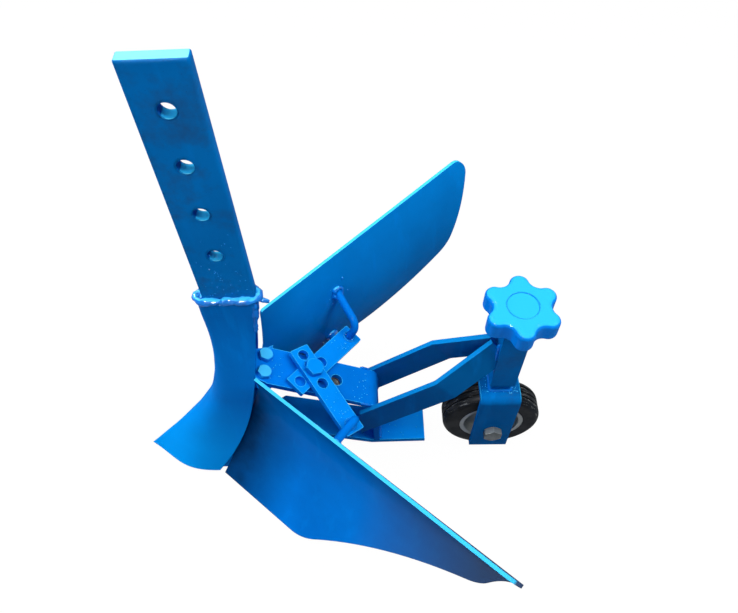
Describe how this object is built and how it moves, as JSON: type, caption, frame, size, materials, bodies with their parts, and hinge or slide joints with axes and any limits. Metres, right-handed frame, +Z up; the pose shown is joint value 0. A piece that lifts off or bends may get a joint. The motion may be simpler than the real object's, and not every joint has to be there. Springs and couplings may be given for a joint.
{
  "type": "ridging plough",
  "caption": "Ridging plough for a mini tiller: drilled flat shank, pointed share, rolled wings on a spread linkage and a depth wheel set by a star knob.",
  "frame": {"origin": "on the ground, under the middle of the plough's length and width", "axes": "+X to the rear (the wheel), +Y to the left wing, +Z up the shank"},
  "size_m": [0.4387, 0.4476, 0.505],
  "materials": {
    "blue_paint": "glossy enamel, thicker at the edges and weld beads",
    "blue_knob": "glossy moulded plastic",
    "plain_steel": "oiled",
    "zinc_steel": "zinc plated",
    "black_tyre": "matt, dusty",
    "grey_rim": "moulded, dull"
  },
  "bodies": {
    "frame": {"shank": "blue_paint", "share": "blue_paint", "neck_weld": "blue_paint", "centre_plate": "blue_paint", "sole_bar": "blue_paint", "left_arm": "blue_paint", "right_arm": "blue_paint", "guide_tube": "blue_paint", "guide_cap": "blue_paint", "hinge_bolts": "blue_paint", "hinge_washers": "blue_paint", "hinge_nuts": "blue_paint", "clamp_bolt": "blue_paint", "clamp_washer": "blue_paint", "clamp_nut": "blue_paint"},
    "left_wing": {"left_wing": "blue_paint", "left_hinge_lug": "blue_paint", "left_staple": "blue_paint"},
    "right_wing": {"right_wing": "blue_paint", "right_hinge_lug": "blue_paint", "right_staple": "blue_paint"},
    "left_link": {"left_link": "blue_paint"},
    "right_link": {"right_link": "blue_paint"},
    "knob": {"star_knob": "blue_knob", "knob_cap": "blue_knob", "lift_screw": "plain_steel", "thrust_collar": "plain_steel"},
    "post": {"inner_post": "blue_paint", "post_nut": "plain_steel", "wheel_fork": "blue_paint", "axle_bolt": "zinc_steel", "axle_nut": "zinc_steel"},
    "wheel": {"tyre": "black_tyre", "wheel_rim": "grey_rim", "hub_bush": "plain_steel"}
  },
  "joints": [
    {"name": "left_wing_hinge", "type": "hinge", "parent": "frame", "child": "left_wing", "pos_m": [-0.06298, 0.0098, 0.16394], "axis": [0.4462, 0, 0.8949], "range_deg": [-1.5, 5.5]},
    {"name": "right_wing_hinge", "type": "hinge", "parent": "frame", "child": "right_wing", "pos_m": [-0.06298, -0.0098, 0.16394], "axis": [-0.4462, 0, -0.8949], "range_deg": [-1.5, 5.5]},
    {"name": "left_link_pivot", "type": "hinge", "parent": "left_wing", "child": "left_link", "pos_m": [0.01487, 0.052, 0.12512], "axis": [0.4462, 0, 0.8949], "range_deg": [-0.45, 1.6]},
    {"name": "right_link_pivot", "type": "hinge", "parent": "right_wing", "child": "right_link", "pos_m": [0.01487, -0.052, 0.12512], "axis": [-0.4462, 0, -0.8949], "range_deg": [-0.45, 1.6]},
    {"name": "knob_turn", "type": "hinge", "parent": "frame", "child": "knob", "pos_m": [0.17515, 0, 0.23183], "axis": [0.0436, 0, 0.999], "range_deg": [-962, 4804]},
    {"name": "post_slide", "type": "slide", "parent": "frame", "child": "post", "axis": [0.0436, 0, 0.999], "range_m": [-0.04, 0.008]},
    {"name": "wheel_spin", "type": "hinge", "parent": "post", "child": "wheel", "pos_m": [0.1673, 0, 0.052], "axis": [0, 1, 0], "continuous": true}
  ],
  "couplings": [
    {"joint": "left_link_pivot", "follows": "left_wing_hinge", "ratio": 0.284},
    {"joint": "right_link_pivot", "follows": "right_wing_hinge", "ratio": 0.284},
    {"joint": "knob_turn", "follows": "post_slide", "rad_per_m": -2094.4}
  ]
}
